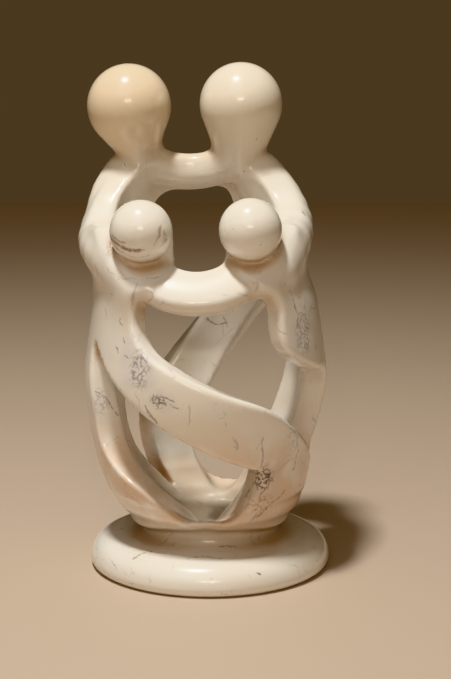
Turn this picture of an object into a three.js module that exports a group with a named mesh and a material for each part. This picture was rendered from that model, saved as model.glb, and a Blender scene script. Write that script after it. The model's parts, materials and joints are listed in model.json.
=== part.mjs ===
// A soapstone family: four ball-headed figures and their round base, carved as one block of stone.
// Millimetres, +Z up, the front faces -Y, and the origin is the centre of the flat underside.
// The bodies are an egg-shaped shell, pierced by four slanted windows that leave the twisting bands
// standing. Arms, bars, necks, heads and the base are blended into it as one distance field, and the
// mesh is the surface where that field is zero.
import * as THREE from "three";

// Disc base, with a wide round on its upper edge and a small one below.
const BASE = { radius: 61, height: 15.5, upperRound: 11, lowerRound: 4 };
// Short neck between the base and the bowl, wider to the sides than to the front.
const FOOT = { frontRadius: 29, sideRadius: 33, centreHeight: 16, halfHeight: 8 };
// Undercut lip of the bowl: its edge is lower at the sides, and its underside rises outwards.
const LIP = { sideHeight: 20.5, frontRise: 8.5, underslope: 0.55, underReach: 12 };
// Hollow floor of the bowl, deepest in the middle.
const FLOOR = { middleHeight: 23, rimRise: 9, rimRadius: 40 };

// Outer radius of the shell at each height.
const SHELL_RADIUS = [
  [14, 27], [23, 34.8], [25.7, 37.6], [30, 40.8], [34.2, 44.3], [39, 47.4], [47, 51.6], [62, 55.4],
  [80, 59], [98, 60.8], [112, 59.4], [125, 57.5], [138, 55.6], [150, 53.7], [165, 53], [178, 52.6],
  [188, 50.6], [197, 47.2], [205, 42.4], [212, 36],
];
// Sideways place of the shell's axis at each height: the block leans a little to the left.
const SHELL_LEAN = [
  [0, 0], [28, -0.4], [47, -2.2], [62, -2.9], [80, -2.3], [98, -2], [125, -2], [150, -4.5], [165, -6],
  [200, -7],
];
// Wall thickness of the shell at each height.
const SHELL_WALL = [[20, 15], [60, 14], [100, 12.5], [140, 11], [210, 12]];
// Top of the shell at each bearing, in degrees from the front towards +X.
const SHELL_TOP = [
  [-85, 172], [-72, 173], [-58, 173], [-45, 172], [0, 165], [50, 172], [62, 174], [76, 173], [90, 177],
  [105, 185], [120, 195], [150, 203], [190, 203], [220, 203], [245, 194], [262, 182], [275, 172],
];
// Bearings run from this one round to the same place a turn later.
const FIRST_BEARING = -85;

// Windows through the shell, as closed outlines of bearing in degrees and height.
const LEFT_WINDOW = [
  [-67, 117], [-52, 105], [-31, 88.5], [-12, 77], [8, 67], [20, 62], [31.5, 57], [28, 47], [18.5, 36],
  [4, 25.5], [-9, 25], [-20, 35.5], [-34, 47], [-50, 56], [-61, 66], [-65, 88],
];
const FRONT_WINDOW = [
  [-36, 142.5], [-37, 137], [-35.5, 127], [-29, 117.5], [-12, 108], [8, 99], [31, 90], [48, 79],
  [63, 69], [82, 57], [91, 54], [96, 59], [94, 69], [88.5, 86], [85.5, 94], [78, 101], [64, 105.5],
  [48, 112.5], [41, 119], [39.5, 127], [41, 137], [40, 143], [35, 146.5], [30, 151], [26, 160],
  [23, 185], [-18, 185], [-22, 158], [-26, 149.5], [-31.5, 145.5],
];
const RIGHT_WINDOW = [
  [114, 142], [124, 140], [146, 125], [166, 100.5], [180, 78], [187, 66], [190, 52], [186, 40],
  [178, 32], [167, 29], [156, 31.5], [147, 41], [131, 72], [123.5, 97], [117, 118],
];
const BACK_WINDOW = [
  [157, 187], [154, 170], [160, 149], [183, 121], [202, 97], [217, 77], [221, 64], [221, 42], [221, 33],
  [228, 40], [236, 49], [244, 60], [246, 72], [236, 108], [224, 146], [211.5, 181], [198, 188.5],
  [177, 190],
];
// Short straight edges between the given points of a window.
const OUTLINE_STEPS = 8;
// Rounding of the edges: the left window's upper crest is crisper than the rest.
const EDGE_ROUND = 2.4;
const LEFT_EDGE_ROUND = 1.8;
const LIP_ROUND = 2;

// Parents, at the back: ball heads on tapering necks, joined by a drooping bar.
const LEFT_PARENT = {
  head: { places: [[-41.3, 31, 230.5], [-35.9, 31, 203.5]], radii: [21.45, 6.6] },
  arm: {
    places: [[-43, 31, 195.5], [-51, 28, 186], [-53.8, 17, 175.5], [-55.2, 3, 165.5], [-51, -12, 160],
      [-41, -27, 153]],
    radii: [10.3, 9.1, 8.8, 9.6, 9.8, 10],
  },
  torso: { places: [[-41.5, 31, 196], [-49, 31, 160]], radii: [9.5, 9.5] },
  barBlend: 9,
};
const RIGHT_PARENT = {
  head: { places: [[15.8, 31, 231.5], [15.1, 31, 203]], radii: [21.15, 10] },
  arm: {
    places: [[23.5, 31, 198], [29.8, 30, 193], [37.4, 25, 184.5], [41.8, 12, 173], [39.3, -7, 165.5],
      [32, -27, 153]],
    radii: [10, 9.3, 8.8, 9.4, 9.8, 10],
  },
  torso: { places: [[22.5, 31, 196], [35.5, 31, 160]], radii: [9.5, 9.5] },
  barBlend: 8,
};
// Bars that curve up towards their ends, in a plane that is tilted back from upright by an angle.
const PARENTS_BAR = {
  centre: [-10.8, 35.5, 196.7], halfSpan: 25, endRise: 9.4, endLift: 10.3, tilt: 0,
  halfWidth: 8.8, halfThickness: 6.6,
};
// Round cones along a limb's curve, for each stretch between two of its places.
const CONES_EACH = 2;

// Children, at the front: smaller balls on short necks, joined by a flat bar that faces up and forward.
const CHILD_HEAD_RADIUS = 15;
const CHILDREN = [
  { head: [-32, -36, 172.6], neck: { places: [[-28.2, -26, 170], [-27.2, -25, 159]], radii: [11, 10] } },
  { head: [19.7, -36, 173.4], neck: { places: [[18.9, -26, 170], [18.9, -25, 159]], radii: [11, 10] } },
];
// The bar's flat face and the children's chests lie in one plane.
const CHILDREN_BAR = {
  centre: [-6, -40.5, 143.6], halfSpan: 27, endRise: 14.3, endLift: 0, tilt: 45,
  halfWidth: 11.4, halfThickness: 8.5,
};
// That plane's distance in front of the bar's middle, and the rounding of the face's edge.
const CHEST_DEPTH = 6.5;
const CHEST_ROUND = 2.5;
// The children's backs, behind their bar and lifting towards the sides.
const CHILDREN_BACKS = {
  centre: [-6, -21.5, 138.5], halfSpan: 27, endRise: 0, endLift: 17, tilt: 90,
  halfWidth: 16, halfThickness: 6,
};

// Blends between neighbouring forms.
const BLEND = {
  bowl: 6, base: 9, foot: 3, upperBody: 8, arm: 12, arms: 1.5, armJoint: 4.5, necks: 3,
  childNeck: 11, childHead: 2.25, backs: 8, barMiddle: 6, barEnd: 19,
};
// The children's bar takes the wider blend beyond this distance from its middle.
const BAR_BLEND = { centreX: -5.5, from: 24, to: 40 };

// Mesh: the grid's cells are finer in height over the base than above it.
const CELL = 6.2;
const BASE_CELL = 3;
const FIELD_LOW = [-72, -67, -1.4];
const FIELD_HIGH = [66, 67, 256];
// Each vertex is led to the surface in a few strides, and the spacing is evened out in between.
const SETTLE_STEPS = 4;
const GRADIENT_STEP = 0.05;
const LEAST_SLOPE = 0.2;
const LONGEST_STRIDE = 1.5;
const RELAX_ROUNDS = 4;
const RELAX_SHARE = 0.7;
const FLAT_TOLERANCE = 0.05;

/** A smooth curve through [place, value] stations that keeps rising or falling between them. */
class StationCurve {
  constructor(stations) {
    this.stations = stations;
    const slopes = stations.slice(1).map(([x, y], i) => (y - stations[i][1]) / (x - stations[i][0]));
    this.tangents = stations.map((station, i) => {
      const before = slopes[i - 1] ?? slopes[i];
      const after = slopes[i] ?? slopes[i - 1];
      return before * after <= 0 ? 0 : (2 * before * after) / (before + after);
    });
  }

  /** The stretch that holds a place, and how far along it the place lies. */
  locate(place) {
    const last = this.stations.length - 2;
    const found = this.stations.findIndex(([x]) => x > place) - 1;
    const index = THREE.MathUtils.clamp(found < -1 ? last : found, 0, last);
    const start = this.stations[index][0];
    const width = this.stations[index + 1][0] - start;
    return { index, width, share: THREE.MathUtils.clamp((place - start) / width, 0, 1) };
  }

  at(place) {
    const { index, width, share: t } = this.locate(place);
    const [low, high] = [this.stations[index][1], this.stations[index + 1][1]];
    const [leaving, arriving] = [this.tangents[index], this.tangents[index + 1]];
    const bend = leaving * (t ** 3 - 2 * t ** 2 + t) + arriving * (t ** 3 - t ** 2);
    return low + (high - low) * t * t * (3 - 2 * t) + width * bend;
  }

  slope(place) {
    const { index, width, share: t } = this.locate(place);
    const rise = (this.stations[index + 1][1] - this.stations[index][1]) / width;
    const [leaving, arriving] = [this.tangents[index], this.tangents[index + 1]];
    const bend = leaving * (3 * t * t - 4 * t + 1) + arriving * (3 * t * t - 2 * t);
    return rise * 6 * t * (1 - t) + bend;
  }
}

/** The nearer of two distances, with a fillet of the given width where they meet. */
function blend(first, second, width) {
  const overlap = Math.max(width - Math.abs(first - second), 0) / width;
  return Math.min(first, second) - (overlap ** 3 * width) / 6;
}

/** The farther of two distances, with the edge between them rounded. */
function roundedCut(first, second, radius) {
  const corner = Math.hypot(Math.max(first + radius, 0), Math.max(second + radius, 0));
  return Math.min(-radius, Math.max(first, second)) + corner;
}

/** Distance to two balls and the tapering skin that touches both. */
function roundCone(point, start, end, startRadius, endRadius) {
  const axis = new THREE.Vector3(...end).sub(new THREE.Vector3(...start));
  const length = axis.length();
  const offset = point.clone().sub(new THREE.Vector3(...start));
  const along = offset.dot(axis) / length;
  const across = Math.sqrt(Math.max(offset.lengthSq() - along * along, 0));
  const taper = (startRadius - endRadius) / length;
  const lean = Math.sqrt(1 - taper * taper);
  const reach = along * lean - across * taper;
  if (reach < 0) return Math.hypot(across, along) - startRadius;
  if (reach > lean * length) return Math.hypot(across, along - length) - endRadius;
  return across * lean + along * taper - startRadius;
}

/** Distance to a single round cone that is given by its two places and radii. */
function coneDistance(point, { places, radii }) {
  return roundCone(point, places[0], places[1], radii[0], radii[1]);
}

/** The ends of the round cones that follow a smooth curve through a limb's places. */
function limbStations({ places, radii }) {
  const count = (places.length - 1) * CONES_EACH;
  const throughAll = (points) => {
    return new THREE.CatmullRomCurve3(points, false, "catmullrom", 0.5).getPoints(count);
  };
  const along = throughAll(places.map((place) => new THREE.Vector3(...place)));
  const widths = throughAll(radii.map((radius) => new THREE.Vector3(radius, 0, 0)));
  return along.map((place, i) => ({ place: place.toArray(), radius: widths[i].x }));
}

/** Distance to a run of round cones, with a fillet at each joint. */
function limbDistance(point, stations) {
  const parts = stations.slice(1).map((next, i) =>
    roundCone(point, stations[i].place, next.place, stations[i].radius, next.radius));
  return parts.reduce((sum, part) => blend(sum, part, BLEND.armJoint));
}

/** Distance to a bar that curves up towards its ends. */
function bowDistance(point, { centre, halfSpan, endRise, endLift, tilt, halfWidth, halfThickness }) {
  const turned = THREE.MathUtils.degToRad(tilt);
  const [x, y, z] = point.clone().sub(new THREE.Vector3(...centre)).toArray();
  const near = THREE.MathUtils.clamp(x, -halfSpan, halfSpan);
  const upSlope = y * Math.sin(turned) + z * Math.cos(turned);
  const lift = endLift * (near / halfSpan) ** 2;
  const facing = z * Math.sin(turned) - y * Math.cos(turned) - lift;
  const bend = endRise / halfSpan ** 2;
  const lean = 1 / Math.hypot(1, 2 * bend * near);
  const across = (upSlope - bend * near * near) * lean * (halfThickness / halfWidth);
  return Math.hypot(x - near, across, facing) - halfThickness;
}

/** A closed outline through the given points, as short straight edges. */
function smoothOutline(points) {
  const corners = points.map(([bearing, height]) => new THREE.Vector3(bearing, height, 0));
  const curve = new THREE.CatmullRomCurve3(corners, true, "centripetal");
  return curve.getPoints(points.length * OUTLINE_STEPS).slice(0, -1);
}

/** Signed distance to a closed outline, negative inside. */
function outlineDistance(x, y, outline) {
  let nearest = Infinity;
  let inside = false;
  outline.forEach((start, i) => {
    const end = outline[(i + 1) % outline.length];
    const [ex, ey, px, py] = [end.x - start.x, end.y - start.y, x - start.x, y - start.y];
    const share = THREE.MathUtils.clamp((px * ex + py * ey) / (ex * ex + ey * ey), 0, 1);
    nearest = Math.min(nearest, Math.hypot(px - share * ex, py - share * ey));
    const crosses = start.y > y !== end.y > y;
    if (crosses && px < (ex * py) / ey) inside = !inside;
  });
  return inside ? -nearest : nearest;
}

const shellRadius = new StationCurve(SHELL_RADIUS);
const shellLean = new StationCurve(SHELL_LEAN);
const shellWall = new StationCurve(SHELL_WALL);
const shellTop = new StationCurve(SHELL_TOP);
const leftOutline = smoothOutline(LEFT_WINDOW);
const otherOutlines = [FRONT_WINDOW, RIGHT_WINDOW, BACK_WINDOW].map(smoothOutline);
const armStations = [LEFT_PARENT, RIGHT_PARENT].map((parent) => limbStations(parent.arm));

/** How far a point lies in front of the plane of the children's chests. */
function chestDistance(point) {
  const [, y, z] = CHILDREN_BAR.centre;
  const turned = THREE.MathUtils.degToRad(CHILDREN_BAR.tilt);
  const facing = (point.z - z) * Math.cos(turned) - (point.y - y) * Math.sin(turned);
  return facing - CHEST_DEPTH;
}

/** The lip's height over a point. */
function lipHeight(point) {
  const radius = Math.hypot(point.x, point.y);
  const frontShare = (point.y / Math.max(radius, 1)) ** 2;
  const inset = THREE.MathUtils.clamp(shellRadius.at(point.z) - radius, 0, LIP.underReach);
  return LIP.sideHeight + LIP.frontRise * frontShare - LIP.underslope * inset;
}

/** The pierced shell and the floor of its bowl. */
function bodiesDistance(point) {
  const x = point.x - shellLean.at(point.z);
  const spread = Math.hypot(x, point.y);
  const turn = THREE.MathUtils.radToDeg(Math.atan2(x, -point.y));
  const bearing = turn < FIRST_BEARING ? turn + 360 : turn;
  const radius = shellRadius.at(point.z);
  const steepness = 1 / Math.hypot(1, shellRadius.slope(point.z));
  const wall = shellWall.at(point.z);
  const skin = Math.abs((spread - radius + wall / 2) * steepness) - wall / 2;
  const left = outlineDistance(bearing, point.z, leftOutline);
  const others = Math.min(...otherOutlines.map((outline) => outlineDistance(bearing, point.z, outline)));
  const aboveTop = (point.z - shellTop.at(bearing)) * 0.75;
  const limit = Math.max(-others, aboveTop, chestDistance(point));
  const pierced = roundedCut(roundedCut(skin, -left, LEFT_EDGE_ROUND), limit, EDGE_ROUND);
  const belowLip = (lipHeight(point) - point.z) * 0.85;
  const dish = FLOOR.middleHeight + FLOOR.rimRise * (Math.hypot(point.x, point.y) / FLOOR.rimRadius) ** 2;
  const filled = roundedCut((spread - radius) * steepness, belowLip, LIP_ROUND);
  const floor = roundedCut(filled, (point.z - dish) * 0.92, LIP_ROUND);
  return blend(roundedCut(pierced, belowLip, LIP_ROUND), floor, BLEND.bowl);
}

/** The disc and the short neck that stands on it. */
function baseDistance(point) {
  const spread = Math.hypot(point.x, point.y);
  const roundEdge = (round, depth) => roundedCut(spread - BASE.radius, depth, round);
  const upper = roundEdge(BASE.upperRound, point.z - BASE.height);
  const disc = Math.max(upper, roundEdge(BASE.lowerRound, -point.z));
  const sideShare = (point.x / Math.max(spread, 1)) ** 2;
  const footRadius = THREE.MathUtils.lerp(FOOT.frontRadius, FOOT.sideRadius, sideShare);
  const foot = Math.max(spread - footRadius, Math.abs(point.z - FOOT.centreHeight) - FOOT.halfHeight);
  return blend(foot, disc, BLEND.base);
}

/** The parents' arms, torsos, bar, necks and heads. */
function parentsDistance(point) {
  const parents = [LEFT_PARENT, RIGHT_PARENT];
  const sides = parents.map((parent, i) => {
    return blend(limbDistance(point, armStations[i]), coneDistance(point, parent.torso), BLEND.arm);
  });
  const heads = parents.reduce((sum, parent) => {
    return blend(sum, coneDistance(point, parent.head), parent.barBlend);
  }, bowDistance(point, PARENTS_BAR));
  return blend(blend(...sides, BLEND.arms), heads, BLEND.necks);
}

/** The children's bar, backs and necks. */
function childrenDistance(point) {
  const bar = blend(bowDistance(point, CHILDREN_BAR), bowDistance(point, CHILDREN_BACKS), BLEND.backs);
  const flat = roundedCut(bar, chestDistance(point), CHEST_ROUND);
  return CHILDREN.reduce((sum, child) => blend(sum, coneDistance(point, child.neck), BLEND.childNeck), flat);
}

/** Signed distance to the whole carving. */
function carvingDistance(point) {
  const lower = blend(bodiesDistance(point), baseDistance(point), BLEND.foot);
  const withParents = blend(lower, parentsDistance(point), BLEND.upperBody);
  const outward = Math.abs(point.x - BAR_BLEND.centreX);
  const ease = THREE.MathUtils.smoothstep(outward, BAR_BLEND.from, BAR_BLEND.to);
  const barBlend = THREE.MathUtils.lerp(BLEND.barMiddle, BLEND.barEnd, ease);
  const withChildren = blend(withParents, childrenDistance(point), barBlend);
  return CHILDREN.reduce((sum, child) => {
    const head = point.distanceTo(new THREE.Vector3(...child.head)) - CHILD_HEAD_RADIUS;
    return blend(sum, head, BLEND.childHead);
  }, withChildren);
}

/** Moves a point along the field's slope until it lies on the surface. */
function settleOnSurface(point, distance) {
  for (let step = 0; step < SETTLE_STEPS; step += 1) {
    const here = distance(point);
    const slope = new THREE.Vector3(...["x", "y", "z"].map((axis) => {
      const beside = point.clone();
      beside[axis] += GRADIENT_STEP;
      return (distance(beside) - here) / GRADIENT_STEP;
    }));
    const stride = -here / Math.max(slope.lengthSq(), LEAST_SLOPE);
    point.addScaledVector(slope, THREE.MathUtils.clamp(stride, -LONGEST_STRIDE, LONGEST_STRIDE));
  }
  if (Math.abs(point.z) < FLAT_TOLERANCE) point.z = 0;
  return point;
}

/** Evens out the vertices' spacing, and settles them on the surface again after each round. */
function relax(vertices, quads, distance) {
  const neighbours = vertices.map(() => new Set());
  for (const quad of quads) {
    quad.forEach((vertex, i) => neighbours[vertex].add(quad[(i + 1) % 4]).add(quad[(i + 3) % 4]));
  }
  for (let round = 0; round < RELAX_ROUNDS; round += 1) {
    const middles = vertices.map((_, i) => {
      const sum = new THREE.Vector3();
      neighbours[i].forEach((other) => sum.add(vertices[other]));
      return sum.divideScalar(neighbours[i].size);
    });
    vertices.forEach((vertex, i) => settleOnSurface(vertex.lerp(middles[i], RELAX_SHARE), distance));
  }
}

/** Grid lines along one axis, with finer cells up to a given place. */
function gridLines(low, high, fineCell, fineUpTo, cell) {
  const lines = [low];
  while (lines.at(-1) < high) lines.push(lines.at(-1) + (lines.at(-1) < fineUpTo ? fineCell : cell));
  return lines;
}

// The corners of a cell, its twelve edges as corner pairs, and its six faces as rings of corners.
const CORNERS = [0, 1, 2, 3, 4, 5, 6, 7].map((corner) => [corner & 1, (corner >> 1) & 1, corner >> 2]);
const EDGES = CORNERS.flatMap((_, corner) =>
  [1, 2, 4].filter((bit) => !(corner & bit)).map((bit) => [corner, corner | bit]));
const FACES = [[1, 2, 4], [2, 4, 1], [4, 1, 2]].flatMap(([side, u, v]) =>
  [0, side].map((start) => [start, start | u, start | u | v, start | v]));

/** Groups a cell's crossed edges into the separate sheets of surface that pass through it. */
function sheetsOfCell(inside) {
  const group = EDGES.map(([a, b], i) => (inside[a] !== inside[b] ? i : -1));
  const edgeBetween = (a, b) => EDGES.findIndex(([p, q]) => (p === a && q === b) || (p === b && q === a));
  const join = (a, b) => {
    const [from, to] = [group[a], group[b]];
    group.forEach((value, i) => {
      if (value === from) group[i] = to;
    });
  };
  for (const face of FACES) {
    const sides = face.map((corner, i) => edgeBetween(corner, face[(i + 1) % 4]));
    const crossed = sides.filter((edge) => group[edge] >= 0);
    if (crossed.length === 2) join(crossed[0], crossed[1]);
    if (crossed.length < 4) continue;
    const firstInside = inside[face[0]] ? 0 : 1;
    for (const i of [firstInside, firstInside + 2]) {
      join(edgeBetween(face[(i + 3) % 4], face[i]), edgeBetween(face[i], face[(i + 1) % 4]));
    }
  }
  return group;
}

/** The field's values at the corners of a grid, with the grid's lines and numbering. */
function sampleField(distance) {
  const lines = [0, 1, 2].map((axis) => {
    const fine = axis === 2 ? BASE_CELL : CELL;
    return gridLines(FIELD_LOW[axis], FIELD_HIGH[axis], fine, BASE.height + BASE_CELL, CELL);
  });
  const counts = lines.map((line) => line.length);
  const indexOf = (i, j, k) => (i * counts[1] + j) * counts[2] + k;
  const values = new Float64Array(counts[0] * counts[1] * counts[2]);
  lines[0].forEach((x, i) => lines[1].forEach((y, j) => lines[2].forEach((z, k) => {
    values[indexOf(i, j, k)] = distance(new THREE.Vector3(x, y, z));
  })));
  return { lines, counts, indexOf, values };
}

/** Every whole-number place below the given counts. */
function* places(counts) {
  for (let i = 0; i < counts[0]; i += 1) {
    for (let j = 0; j < counts[1]; j += 1) {
      for (let k = 0; k < counts[2]; k += 1) yield [i, j, k];
    }
  }
}

/** One vertex for each sheet of surface in each cell, and which vertex each cell's edges belong to. */
function surfaceVertices({ lines, counts, indexOf, values }) {
  const vertices = [];
  const vertexOf = new Map();
  for (const cell of places(counts.map((count) => count - 1))) {
    const around = CORNERS.map((corner) => values[indexOf(...cell.map((at, axis) => at + corner[axis]))]);
    const inside = around.map((value) => value < 0);
    if (inside.every(Boolean) || !inside.some(Boolean)) continue;
    const sheets = sheetsOfCell(inside);
    for (const sheet of new Set(sheets.filter((name) => name >= 0))) {
      const members = EDGES.map((_, edge) => edge).filter((edge) => sheets[edge] === sheet);
      const vertex = new THREE.Vector3();
      for (const [a, b] of members.map((edge) => EDGES[edge])) {
        const share = around[a] / (around[a] - around[b]);
        vertex.add(new THREE.Vector3(...cell.map((at, axis) => {
          const within = THREE.MathUtils.lerp(CORNERS[a][axis], CORNERS[b][axis], share);
          return THREE.MathUtils.lerp(lines[axis][at], lines[axis][at + 1], within);
        })));
      }
      members.forEach((edge) => vertexOf.set(indexOf(...cell) * EDGES.length + edge, vertices.length));
      vertices.push(vertex.divideScalar(members.length));
    }
  }
  return { vertices, vertexOf };
}

/** A four-sided face for each grid edge that the surface crosses, wound so that it faces outwards. */
function surfaceQuads({ counts, indexOf, values }, vertexOf) {
  const quads = [];
  for (const axis of [0, 1, 2]) {
    const [u, v] = [(axis + 1) % 3, (axis + 2) % 3];
    for (const at of places(counts.map((count, i) => (i === axis ? count - 1 : count)))) {
      const next = at.map((place, i) => place + (i === axis ? 1 : 0));
      const startInside = values[indexOf(...at)] < 0;
      if (startInside === values[indexOf(...next)] < 0) continue;
      const ring = [[0, 0], [1, 0], [1, 1], [0, 1]].map(([du, dv]) => {
        const cell = at.map((place, i) => place - (i === u ? du : 0) - (i === v ? dv : 0));
        const from = (du << u) | (dv << v);
        const edge = EDGES.findIndex(([a, b]) => a === from && b === (from | (1 << axis)));
        return vertexOf.get(indexOf(...cell) * EDGES.length + edge);
      });
      quads.push(startInside ? ring : ring.reverse());
    }
  }
  return quads;
}

/** The closed mesh of the surface where a distance field is zero, split along the diagonals that hug it. */
function fieldGeometry(distance) {
  const field = sampleField(distance);
  const { vertices, vertexOf } = surfaceVertices(field);
  vertices.forEach((vertex) => settleOnSurface(vertex, distance));
  const quads = surfaceQuads(field, vertexOf);
  relax(vertices, quads, distance);
  const middleGap = (a, b) => Math.abs(distance(vertices[a].clone().lerp(vertices[b], 0.5)));
  const triangles = quads.flatMap(([a, b, c, d]) => {
    return middleGap(a, c) <= middleGap(b, d) ? [a, b, c, a, c, d] : [a, b, d, b, c, d];
  });
  const geometry = new THREE.BufferGeometry().setFromPoints(vertices).setIndex(triangles);
  geometry.computeVertexNormals();
  return geometry;
}

const stone = new THREE.MeshStandardMaterial({ color: 0xd9cfbd, roughness: 0.25, metalness: 0 });
const carving = new THREE.Mesh(fieldGeometry(carvingDistance), stone);
carving.name = "family_carving";

const sculpture = new THREE.Group();
sculpture.name = "soapstone_family";
sculpture.add(carving);

export default sculpture;
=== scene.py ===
"""The soapstone family: four ball-headed figures and their round base, carved as one block of stone.

The carving is one closed surface. Its shape follows a rule, the signed distance from any place to the
stone, which is built here as a Geometry Nodes tree from the sizes of the base, the pierced bodies, the
parents and the children. Those sizes are in millimetres. The finished mesh and the studio are in metres.
"""
from __future__ import annotations

import json
import logging
import math
from dataclasses import dataclass, fields
from enum import Enum
from types import SimpleNamespace
from typing import Any, Mapping, Sequence, Union

import bpy
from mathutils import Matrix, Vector

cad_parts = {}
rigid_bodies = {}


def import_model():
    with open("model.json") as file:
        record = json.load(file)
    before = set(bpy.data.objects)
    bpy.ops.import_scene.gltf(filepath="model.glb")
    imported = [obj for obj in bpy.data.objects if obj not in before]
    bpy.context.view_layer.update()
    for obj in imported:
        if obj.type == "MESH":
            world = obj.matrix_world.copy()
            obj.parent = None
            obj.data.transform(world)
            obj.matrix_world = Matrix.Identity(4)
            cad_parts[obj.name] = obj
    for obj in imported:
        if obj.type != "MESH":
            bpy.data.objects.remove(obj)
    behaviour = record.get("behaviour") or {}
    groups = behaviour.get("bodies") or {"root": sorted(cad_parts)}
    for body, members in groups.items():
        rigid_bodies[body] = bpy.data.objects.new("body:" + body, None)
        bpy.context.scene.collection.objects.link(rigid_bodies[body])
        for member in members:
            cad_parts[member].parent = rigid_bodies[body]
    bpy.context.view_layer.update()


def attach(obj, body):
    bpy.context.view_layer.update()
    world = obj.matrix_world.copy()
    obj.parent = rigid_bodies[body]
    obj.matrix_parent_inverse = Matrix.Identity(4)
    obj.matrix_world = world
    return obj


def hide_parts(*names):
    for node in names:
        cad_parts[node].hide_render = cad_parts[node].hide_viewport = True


log = logging.getLogger("soapstone_family")

BODY = "root"
CAD_NODE = "family_carving"
ROOM = "room"
HOME = "home"
LEFT_MARK = "left"
MILLIMETRE = 0.001
# A squared distance counts as no less than this where it divides, so that nothing divides by zero.
LEAST_SQUARE = 1.0
# The middle of a noise's colour, about which it wanders.
MIDDLE_GREY = (0.5, 0.5, 0.5)

Triple = tuple[float, float, float]
Station = tuple[float, float]
Span = tuple[float, float]
Colour = tuple[float, float, float, float]


class Term:
    """A number that flows through a node tree, so that arithmetic on it adds Math nodes."""

    def __init__(self, desk: "NodeDesk", socket: bpy.types.NodeSocket) -> None:
        """Keeps the socket and the desk that adds nodes beside it."""
        self.desk = desk
        self.socket = socket

    def __add__(self, other: "Number") -> "Term":
        """Adds."""
        return self.desk.math("ADD", self, other)

    def __radd__(self, other: "Number") -> "Term":
        """Adds, from the right."""
        return self.desk.math("ADD", other, self)

    def __sub__(self, other: "Number") -> "Term":
        """Subtracts."""
        return self.desk.math("SUBTRACT", self, other)

    def __rsub__(self, other: "Number") -> "Term":
        """Subtracts, from the right."""
        return self.desk.math("SUBTRACT", other, self)

    def __mul__(self, other: "Number") -> "Term":
        """Multiplies."""
        return self.desk.math("MULTIPLY", self, other)

    def __rmul__(self, other: "Number") -> "Term":
        """Multiplies, from the right."""
        return self.desk.math("MULTIPLY", other, self)

    def __truediv__(self, other: "Number") -> "Term":
        """Divides."""
        return self.desk.math("DIVIDE", self, other)

    def __rtruediv__(self, other: "Number") -> "Term":
        """Divides, from the right."""
        return self.desk.math("DIVIDE", other, self)

    def __neg__(self) -> "Term":
        """Turns the sign round."""
        return self.desk.math("MULTIPLY", self, -1.0)

    def __abs__(self) -> "Term":
        """Drops the sign."""
        return self.desk.math("ABSOLUTE", self)


Number = Union[Term, float]


@dataclass(frozen=True)
class Spot:
    """A place in the part's frame, in millimetres, as a vector and as its three numbers."""

    vector: bpy.types.NodeSocket
    x: Term
    y: Term
    z: Term


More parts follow.
